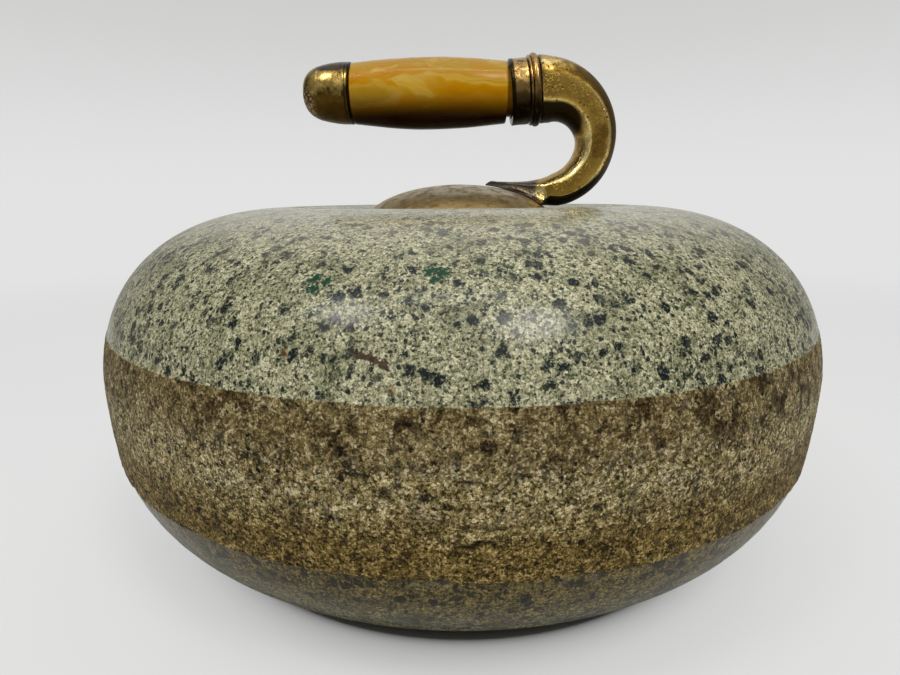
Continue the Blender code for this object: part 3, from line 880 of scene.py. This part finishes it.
def neck_rings():
    """Rings of points from the collar, round the arc, to the tip of the foot."""
    rings = []
    arc_mid = Vector((NECK_ARC_X, 0, NECK_ARC_Z))

    def ring(centre, tilt, section):
        inward = Vector((cos(tilt), 0, sin(tilt)))
        rings.append([centre + inward * u + Vector((0, v, 0)) for u, v in section])

    # the rounded mouth, which the collar sits square on, and the stretch before the arc
    rounding = 0.0006
    start, along = NECK_MOUTH, Vector((cos(COLLAR_DROP), 0, sin(COLLAR_DROP)))
    for distance, inset in ((0.0, rounding), (0.0002, 0.0002), (rounding, 0.0), (0.0022, 0.0001)):
        section = neck_section(NECK_MOUTH_R - inset, NECK_MOUTH_R - inset)
        ring(start + along * distance, COLLAR_DROP - pi / 2, section)
    arc_steps = 74
    for i in range(arc_steps + 1):
        bend = NECK_STATIONS[-1][0] - ARC_SWEEP * i / arc_steps
        half_thick, half_wide, radius = through(NECK_STATIONS, bend)
        angle = radians(bend)
        centre = arc_mid + radius * Vector((cos(angle), 0, sin(angle)))
        ring(centre, angle + pi, neck_section(half_thick, half_wide))
    steps = 60
    first, last = FOOT_STATIONS[-1][0], FOOT_STATIONS[0][0]
    for i in range(steps + 1):
        x = first + (last - first) * i / steps
        top_z, crown, top_wide, low_wide = through(FOOT_STATIONS, x)
        section = foot_section(x, top_z, crown, top_wide, low_wide)
        rings.append([Vector((x, y, z)) for z, y in section])
    return rings


def make_gooseneck():
    rings = neck_rings()
    count = len(rings[0])
    points = []
    for ring in rings:
        for p in ring:
            wave = 0.00007 * fractal(p, 0.01, 2)
            points.append(p + Vector((wave, 0.6 * wave, -wave)))
    faces = tube_faces(len(rings), count, loop=False)
    # the tip is closed, and the mouth is a flat face round the tang's socket
    last = (len(rings) - 1) * count
    faces.append(tuple(range(last, last + count)))
    socket_end = node_span("tang_rod", GRIP_FRAME)[0] - 2 * GAP
    socket = []
    for along in (0.0, socket_end):
        for j in range(count):
            # a ring's points start inside the bend, which is this frame's -X side
            angle = pi - 2 * pi * j / count
            up, level = ROD_HOLE_R * cos(angle), ROD_HOLE_R * sin(angle)
            # its mouth lies in the neck's slanting end face
            slant = up * tan(COLLAR_DROP) if along == 0 else 0
            socket.append(GRIP_FRAME @ Vector((up, level, along + slant)))
    start = len(points)
    points += socket
    for j in range(count):
        n = (j + 1) % count
        faces.append((j, start + j, start + n, n))
        faces.append((start + j, start + count + j, start + count + n, start + n))
    faces.append(tuple(range(start + 2 * count - 1, start + count - 1, -1)))
    add_piece(
        "gooseneck_cast", points, faces, "gooseneck", "handle", "polished_brass", brass_material()
    )


def brass_material():
    m = Material("handled_brass")
    at = m.at
    x, _, z = at.axes()
    _, facing_y, facing_z = m.facing.axes()
    bright = at.noise(0.007, 3).between((210, 174, 88), (166, 128, 52))
    tarnish = at.noise(0.0018, 3).between((118, 90, 34), (54, 40, 12))
    # it stays bright where hands rub it and tarnishes dark on the outer bend; the underside is
    # painted near-black, as painted shade with some tarnish
    from_arc = at.stretched((1, 0, 1)).vector("SUBTRACT", (NECK_ARC_X, 0, NECK_ARC_Z)).length()
    outer = from_arc.span(0.0238, 0.0258) * z.span(0.19, 0.174)
    under = facing_z.span(-0.22, -0.5)
    mottle = at.noise(0.0045, 4, 0.65) - 0.5
    darkening = outer * 1.15 + mottle * 1.5
    colour = darkening.span(0.12, 0.9, 0.0, 0.92).between(bright, tarnish)
    # the edges of the flats are rubbed bright and carry a painted highlight, and the flats have a
    # brown patch
    sideways = abs(facing_y)
    rubbed_edge_highlight = sideways.span(0.5, 0.72) * sideways.span(0.985, 0.93)
    colour = colour.coat(rubbed_edge_highlight * darkening.span(0.5, 0.1, 0.0, 0.8), 255, 232, 158)
    for y in (-0.0095, 0.0095):
        brown = at.streak((0.0585, y, 0.1585), (0.058, y, 0.15), 0.0038, 0.25, 0.003)
        colour = colour.coat(brown * 0.55, 104, 68, 22)
    # painted shade: the faces that look down are painted near-black, with some tarnish
    colour = colour.coat(under * 0.97, 16, 9, 3)
    plated = (x + at.noise(0.003, 3) * 0.004).span(0.037, 0.0335)
    colour = colour.coat(plated * 0.92, 84, 77, 71)
    # painted shade: the foot's upward faces are darker still
    colour = colour.coat(plated * facing_z.span(0.55, 0.85, 0.0, 0.8), 52, 42, 38)
    grime = at.noise(0.0008, 3, 0.7).span(0.53, 0.68) * mottle.span(-0.14, 0.1)
    spotted = at.warped(0.001, 0.0012).specks(0.0019, 0.32, 0.16, 0.72) | grime * 0.7
    colour = colour.coat(spotted * 0.85, 44, 30, 12)
    rubbed = at.scratches((0.5, 0.3, 0.2), 0.0004, 0.01)
    lines = rubbed | at.scratches((0.1, 1.2, 0.4), 0.0003, 0.008)
    dull = darkening.span(0.1, 0.9) | under * 0.8
    roughness = dull.span(0.0, 1.0, 0.25, 0.46) + lines * 0.15
    relief = at.noise(0.0065, 2, 0.4) + (spotted | lines) * -1.1
    return m.finish(colour, roughness, relief.bump(0.00011), 1.0)


# --- Pieces on the grip's axis ---


def add_turned(name, profile, shift, *rest):
    """A lathe piece in its axis's frame. Its profile runs so that the faces point out."""
    add_piece(name, *lathe(profile, TURNED_SEGMENTS, shift), *rest)


def make_bead_ring():
    start, end, radius = node_span("collar_bead_ring", COLLAR_FRAME)
    # a wide bead against the gooseneck and a narrow one against the ferrule
    profile = [(COLLAR_BORE_R, end), (COLLAR_BORE_R, start)]
    split = start + 0.0029
    for low, high, crest, depth in (
        (start, split, radius, 0.0016), (split, end, radius - 0.0006, 0.0009),
    ):
        for i in range(13):
            turn = pi * i / 12
            bulge = sin(turn) ** 0.7
            middle, half = (low + high) / 2, (high - low) / 2
            profile.append((crest - depth * (1 - bulge), middle - half * cos(turn)))

    def worn(p):
        return p * (1 + 0.004 * fractal(p, 0.006, 2))

    add_turned(
        "bead_ring_turned", profile[::-1], worn, "collar_bead_ring", "handle",
        "collar_bronze", bronze_material(), COLLAR_FRAME,
    )


def make_ferrule():
    start, end, rim_r = node_span("neck_ferrule", COLLAR_FRAME)
    floor = start + 0.002
    rounding = 0.0003
    root_r = rim_r - 0.0002
    outside = [
        (root_r - rounding, start), (root_r, start + rounding), (rim_r, end - rounding),
        (rim_r - rounding, end),
    ]
    bore = [(CUP_BORE_R, end), (CUP_BORE_R, floor), (COLLAR_BORE_R, floor), (COLLAR_BORE_R, start)]

    def dented(p):
        """Hammered lightly out of round."""
        radius = hypot(p.x, p.y)
        if radius < root_r - 0.001:
            return p
        dent = 0.0002 * fractal(p, 0.006, 2) - 0.00004
        return p + Vector((p.x, p.y, 0)) / radius * dent

    add_turned(
        "ferrule_dented", densify(outside + bore, 0.0005), dented, "neck_ferrule", "handle",
        "collar_bronze", bronze_material(end), COLLAR_FRAME,
    )


def bronze_material(rim_at=1.0):
    m = Material("brown_bronze")
    at = m.at
    facing_up = m.facing.axes()[0]
    warm = at.noise(0.005, 3).between((206, 168, 104), (156, 124, 70))
    dark = at.noise(0.0025, 3).between((84, 64, 36), (40, 29, 18))
    # painted shade: darker on the faces that look down, mixed with patches of tarnish, and
    # near-black beneath
    darkening = facing_up.span(0.1, -0.5) + at.noise(0.004, 4, 0.65) * 0.9
    colour = darkening.span(0.4, 1.05, 0.05, 0.95).between(warm, dark)
    colour = colour.coat(facing_up.span(-0.2, -0.55, 0.0, 0.95), 22, 14, 8)
    patches = at.noise(0.0028, 4, 0.7)
    colour = colour.coat(patches.span(0.5, 0.64, 0.0, 0.8), 62, 48, 26)
    # painted shadow round the mouth that the grip sits in
    rim = at.axes()[2].span(rim_at - 0.0018, rim_at - 0.0012, 0.0, 0.94)
    colour = colour.coat(rim, 20, 15, 8)
    lines = at.scratches((0.9, 0.4, 0.2), 0.0003, 0.006, 0.08)
    roughness = darkening.span(0.3, 1.0, 0.2, 0.42) + lines * 0.15
    relief = at.noise(0.0022, 3) + lines * -0.6
    return m.finish(colour, roughness, relief.bump(0.00012), 1.0)


def make_grip():
    low, high, _ = node_span("grip", GRIP_FRAME)
    start, end = low + SPIGOT_L, high - SPIGOT_L
    steps = 130
    edge = 0.0003
    barrel = [(GRIP_NECK_R - edge, start)]
    for i in range(steps + 1):
        share = i / steps
        taper = GRIP_NECK_R + (GRIP_CAP_R - GRIP_NECK_R) * share
        swell = GRIP_SWELL * sin(pi * share)
        barrel.append((taper + swell, start + edge + (end - start - 2 * edge) * share))
    barrel.append((GRIP_CAP_R - edge, end))
    profile = (
        [(ROD_HOLE_R, high), (ROD_HOLE_R, low), (SPIGOT_R, low), (SPIGOT_R, start)]
        + barrel
        + [(SPIGOT_R, end), (SPIGOT_R, high)]
    )

    def hand_worn(p):
        """Worn thinner along the top, so that the barrel looks a little low on its tang."""
        radius = hypot(p.x, p.y)
        if radius < SPIGOT_R + 0.001:
            return p
        share = (p.z - start) / (end - start)
        sag = Vector((-0.0004 * (0.4 + 0.6 * sin(pi * share)), 0, 0))
        swell = 0.00012 * fractal(Vector((p.x, p.y, p.z * 0.5)), 0.012, 2)
        return p + Vector((p.x, p.y, 0)) / radius * swell + sag

    add_turned(
        "grip_resin", profile[::-1], hand_worn, "grip", "grip",
        "marbled_resin", resin_material(end), GRIP_FRAME,
    )


def resin_material(end):
    m = Material("marbled_resin")
    at = m.at
    up = at.axes()[0]
    # the marbling is drawn out along the grip and folded on itself
    drawn = at.warped(0.018, 0.01).stretched((1.0, 1.0, 0.26))
    folds = drawn.noise(0.0085, 3, 0.5, 1.0)
    veins = drawn.warped(0.007, 0.004).noise(0.004, 2, 0.5, 0.5)
    amber = folds.ramp(
        (0.25, 172, 110, 0),
        (0.45, 190, 130, 0),
        (0.56, 188, 136, 8),
        (0.66, 204, 162, 60),
        (0.78, 178, 120, 0),
    )
    # cream streaks, thickest towards the top of the grip
    amber = amber.coat((up + folds * 0.012).span(0.009, 0.017) * 0.6, 160, 128, 34)
    amber = amber.coat(veins.span(0.5, 0.72) * up.span(0.0, 0.0075, 0.1, 0.66), 206, 178, 96)
    # one olive patch near the cap, with a cream outline
    patch_mid = (-0.0026, -0.012, end - 0.008)
    offset = at.warped(0.011, 0.008).warped(0.003, 0.002).vector("SUBTRACT", patch_mid)
    away = offset.stretched((1.0, 0.5, 0.3), (0, 0.16, 0)).length()
    outline = away.span(0.0048, 0.004) * away.span(0.0026, 0.0036)
    amber = amber.coat(away.span(0.0046, 0.003, 0.0, 0.55), 170, 140, 40)
    amber = amber.coat(outline * 0.22, 216, 182, 92)
    # painted shade: the underside is painted dark
    amber = amber.stain(up.span(-0.0004, -0.0112, 0.0, 0.985), 30, 6, 0)
    # hairline cracks along the top, and three long ones
    hairlines = at.stretched((1.0, 1.0, 0.12)).noise(0.0013, 3, 0.6).span(0.6, 0.68)
    chance = at.warped(0.004, 0.002).stretched((1.0, 1.0, 0.35)).cells(0.006)[1]
    cracked = hairlines * up.span(0.0095, 0.0125) * (chance > 0.45)
    for start, stop in ((0.028, 0.036), (0.0385, 0.045), (0.0575, 0.063)):
        cracked |= at.streak((0.0132, -0.004, start), (0.0133, -0.0034, stop), 0.00035, 0.9)
    amber = amber.coat(cracked * 0.8, 84, 48, 12)
    roughness = at.noise(0.006, 3).span(0.35, 0.7, 0.15, 0.28)
    relief = at.noise(0.004, 2) * 0.8 + cracked * -0.8
    shine = up.span(0.0, 0.008, 0.06, 0.22)
    return m.finish(amber, roughness, relief.bump(0.00008), shine=shine)


def cap_radius(share, radius):
    """Outside of the cap; share is 0 at its mouth and 1 at its tip."""
    return radius * (1 - share**CAP_LENGTH_POWER) ** CAP_RADIUS_POWER


def make_end_cap():
    start, end, radius = node_span("end_cap", GRIP_FRAME)
    floor = node_span("grip", GRIP_FRAME)[1] + GAP
    bore_end = node_span("tang_rod", GRIP_FRAME)[1] + 0.0022
    bore_r = ROD_HOLE_R - GAP
    outside = []
    steps = 80
    for i in range(steps + 1):
        share = cos(pi / 2 * i / steps)
        outside.append((cap_radius(share, radius), start + (end - start) * share))
    outside[0] = (0, end)
    groove = start + 0.0016  # a turned line near the mouth
    outside = [p for p in outside if p[1] > groove + 0.0004]
    outside += [
        (radius, groove + 0.0003), (radius - 0.00025, groove), (radius, groove - 0.0003),
        (radius, start + 0.0006), (radius, start + 0.0002), (radius - 0.0002, start),
    ]
    inside = [(CUP_BORE_R, start), (CUP_BORE_R, floor), (bore_r, floor), (bore_r, bore_end),
              (0, bore_end)]

    def knocked(p):
        radial = hypot(p.x, p.y)
        inside_cup = radial < CUP_BORE_R + GAP and p.z < bore_end + GAP
        if inside_cup or radial < 1e-6:
            return p
        outward = Vector((p.x, p.y, 1.2 * max(p.z - start - 0.01, 0))).normalized()
        return p + outward * (0.00012 * fractal(p, 0.0075, 3) - 0.00006)

    add_turned(
        "end_cap_worn", outside + inside, knocked, "end_cap", "cap",
        "worn_brass", cap_material(start), GRIP_FRAME,
    )


def cap_material(mouth):
    m = Material("worn_cap_brass")
    at = m.at
    up, _, along = at.axes()
    bright = at.noise(0.006, 3).between((246, 214, 132), (190, 154, 74))
    brown = at.noise(0.003, 3).between((104, 78, 30), (56, 40, 12))
    # painted shade: darker towards the underside, broken up by patches of tarnish
    darkening = up.span(0.002, -0.008, 0.0, 0.45) + at.noise(0.005, 4, 0.65) * 1.3
    colour = darkening.span(0.45, 0.9).between(bright, brown)
    plating = (up + at.noise(0.004, 3) * 0.004).span(0.008, 0.0098)
    plating *= along.span(mouth + 0.017, mouth + 0.012)
    colour = colour.coat(plating * 0.97, 62, 54, 40)
    # lime crust low on the blunt end, and a painted shadow round the mouth, where it meets the
    # grip
    crusty = along.span(mouth + 0.013, mouth + 0.017) * up.span(0.001, -0.002)
    crust = crusty * at.noise(0.0011, 3, 0.7).span(0.46, 0.6)
    colour = colour.coat(crust * 0.85, 196, 170, 126)
    # painted shadow round the mouth
    colour = colour.coat(along.span(mouth + 0.001, mouth + 0.0005, 0.0, 0.9), 22, 16, 8)
    scored = at.stretched((0.5, 0.5, 3.0), (0.5, 0, 0)).noise(0.0016, 2).span(0.6, 0.68)
    scored *= along.span(mouth + 0.0075, mouth + 0.003)
    colour = colour.coat(scored * 0.7, 58, 38, 16)
    roughness = darkening.span(0.4, 1.0, 0.17, 0.4) + scored * 0.1 + crust * 0.3
    relief = at.noise(0.005, 2) + (scored * -0.5 + crust * 0.8)
    metal = crust.span(0.2, 0.7, 1.0, 0.0)
    return m.finish(colour, roughness, relief.bump(0.00018), metal)


# --- Pieces that stay as CAD nodes ---


def steel_material():
    m = Material("rusted_steel")
    at = m.at
    bare = at.noise(0.003, 3).between((150, 146, 140), (118, 114, 108))
    rust = at.noise(0.0012, 3).between((112, 66, 34), (66, 40, 26))
    rusted = at.noise(0.0045, 4, 0.65).span(0.45, 0.6)
    roughness = rusted.span(0.0, 1.0, 0.38, 0.85)
    metal = rusted.span(0.0, 1.0, 1.0, 0.2)
    relief = at.noise(0.0008, 3) + rusted * 0.6
    return m.finish(rusted.between(bare, rust), roughness, relief.bump(0.0001), metal)


def leather_material():
    m = Material("old_leather")
    at = m.at
    hide = at.noise(0.004, 3).between((96, 62, 38), (62, 38, 24))
    creases = at.warped(0.001, 0.0006).cells(0.0009)[0].span(0.45, 0.75)
    roughness = at.noise(0.003, 2).span(0.3, 0.7, 0.7, 0.88)
    relief = creases * -0.7 + at.noise(0.002, 3)
    return m.finish(hide.coat(creases * 0.5, 34, 22, 14), roughness, relief.bump(0.00015))


def dress_cad_nodes():
    finishes = (
        (steel_material(), ("handle_bolt", "bolt_washer", "tang_rod")),
        (leather_material(), ("bolt_packing", "dome_seat_ring")),
    )
    for mat, names in finishes:
        for name in names:
            materials = frame["nodes"][name].data.materials
            materials.clear()
            materials.append(mat)


# --- Floor, light and camera ---

FLOOR_R = 1.3
FLOOR_SIDES = 96
FLOOR_DROP = 0.0001  # below the ice's level, so that it doesn't fight with the stone
FLOOR_FADE_IN, FLOOR_FADE_OUT = 0.42, 1.05
# The floor's shade under the stone, and its softer edge, by distance from the axis
SHADE_IN, SHADE_OUT = 0.103, 0.114
PENUMBRA_IN, PENUMBRA_OUT = 0.108, 0.129
# How the shadow is thinned out: from where, over what distance, and by how much at most
THIN_FROM, THIN_OVER, THIN_MOST = 0.109, 0.006, 0.71


def make_floor():
    """A pale disc that fades into the backdrop, so that no horizon shows."""
    m = Material("pale_floor")
    away = m.at.length()
    pale = m.at.noise(0.05, 3).between((238, 238, 237), (234, 235, 235))
    # darkest where the stone nearly touches it
    shade = away.span(SHADE_IN, SHADE_OUT).between((30, 24, 18), pale)
    shade = shade.coat(away.span(PENUMBRA_IN, PENUMBRA_OUT, 0.42, 0.0), 110, 108, 106)
    m.finish(shade, 0.55)
    # the camera also sees the shadow thinned out, except where the stone stands
    beyond = (away - THIN_FROM | 0.0) + THIN_OVER
    thin = (1.0 - (THIN_OVER / beyond) ** 2.0) * THIN_MOST
    thin += away.span(FLOOR_FADE_IN, FLOOR_FADE_OUT, 0.0, 1.0 - THIN_MOST)
    seen = away.add("ShaderNodeLightPath", out="Is Camera Ray")
    clear = away.add("ShaderNodeBsdfTransparent")
    solid = m.tree.nodes["Principled BSDF"].outputs[0]
    blend = away.add("ShaderNodeMixShader", {0: thin * seen, 1: solid, 2: clear})
    m.tree.links.new(blend.socket, m.tree.nodes["Material Output"].inputs["Surface"])
    turns = [2 * pi * i / FLOOR_SIDES for i in range(FLOOR_SIDES)]
    points = [(0, 0, 0)] + [(FLOOR_R * cos(a), FLOOR_R * sin(a), 0) for a in turns]
    faces = [(0, 1 + i, 1 + (i + 1) % FLOOR_SIDES) for i in range(FLOOR_SIDES)]
    mesh = bpy.data.meshes.new("floor")
    mesh.from_pydata(points, [], faces)
    mesh.materials.append(m.mat)
    floor = bpy.data.objects.new("floor", mesh)
    floor.location.z = -FLOOR_DROP
    bpy.context.scene.collection.objects.link(floor)


def make_world():
    """Brightest in front, but for a dim patch behind the camera, and dim to both sides.

    The camera sees a plain backdrop instead.
    """
    world = bpy.data.worlds.new("studio")
    bpy.context.scene.world = world
    world.use_nodes = True
    tree = world.node_tree
    tree.nodes.clear()
    way = Value(tree, add_node(tree, "ShaderNodeTexCoord").outputs["Generated"])
    x, y, z = way.axes()
    strength = y.span(-0.94, -0.78, 0.2, 0.66) + y.span(-0.8, 0.5, 0.0, 0.04)
    strength *= abs(x).span(0.2, 0.85, 1.0, 0.3)
    light = way.add("ShaderNodeBackground", {"Color": (1.0, 1.0, 0.985), "Strength": strength})
    backdrop = z.span(0.0, 0.35).between((226, 227, 226), (204, 204, 203))
    plain = way.add("ShaderNodeBackground", {"Color": backdrop})
    seen = way.add("ShaderNodeLightPath", out="Is Camera Ray")
    pick = way.add("ShaderNodeMixShader", {0: seen, 1: light, 2: plain})
    add_node(tree, "ShaderNodeOutputWorld", {"Surface": pick})


def soft_light(name, azimuth, elevation, distance, size, power, tall=None):
    """Area light aimed at the stone. Azimuth is from -Y towards +X."""
    turn, rise = radians(azimuth), radians(elevation)
    direction = Vector((
        sin(turn) * cos(rise), -cos(turn) * cos(rise), sin(rise)
    ))
    data = bpy.data.lights.new(name, "AREA")
    data.shape = "RECTANGLE"
    data.size, data.size_y = size, tall or size
    data.energy = power
    lamp = bpy.data.objects.new(name, data)
    target = Vector((0, 0, STONE_H / 2))
    lamp.location = target + direction * distance
    lamp.rotation_euler = direction.to_track_quat("Z", "Y").to_euler()
    bpy.context.scene.collection.objects.link(lamp)


def make_camera():
    data = bpy.data.cameras.new("camera")
    data.lens = 22.2
    data.sensor_width = 36
    data.clip_start = 0.01
    camera = bpy.data.objects.new("camera", data)
    down, turn, roll = radians(14.18), radians(0.963), radians(-0.38)
    camera.matrix_world = (
        Matrix.Translation((0, -0.2522, 0.1321))
        @ Matrix.Rotation(turn, 4, "Z")
        @ Matrix.Rotation(pi / 2 - down, 4, "X")
        @ Matrix.Rotation(roll, 4, "Z")
    )
    bpy.context.scene.collection.objects.link(camera)
    bpy.context.scene.camera = camera


def make_stage():
    make_floor()
    make_world()
    soft_light("overhead", 0, 84, 1.3, 1.1, 1.2)
    soft_light("window_left", -51, 55, 1.2, 0.26, 2.4)
    soft_light("window_right", 31, 53, 1.2, 0.3, 4.0)
    soft_light("strip", 0, 74, 1.2, 0.6, 1.0, 0.07)
    make_camera()
    bpy.context.scene.view_settings.view_transform = "Standard"


make_granite_body()
make_dome()
make_gooseneck()
make_bead_ring()
make_ferrule()
make_grip()
make_end_cap()
dress_cad_nodes()
make_stage()
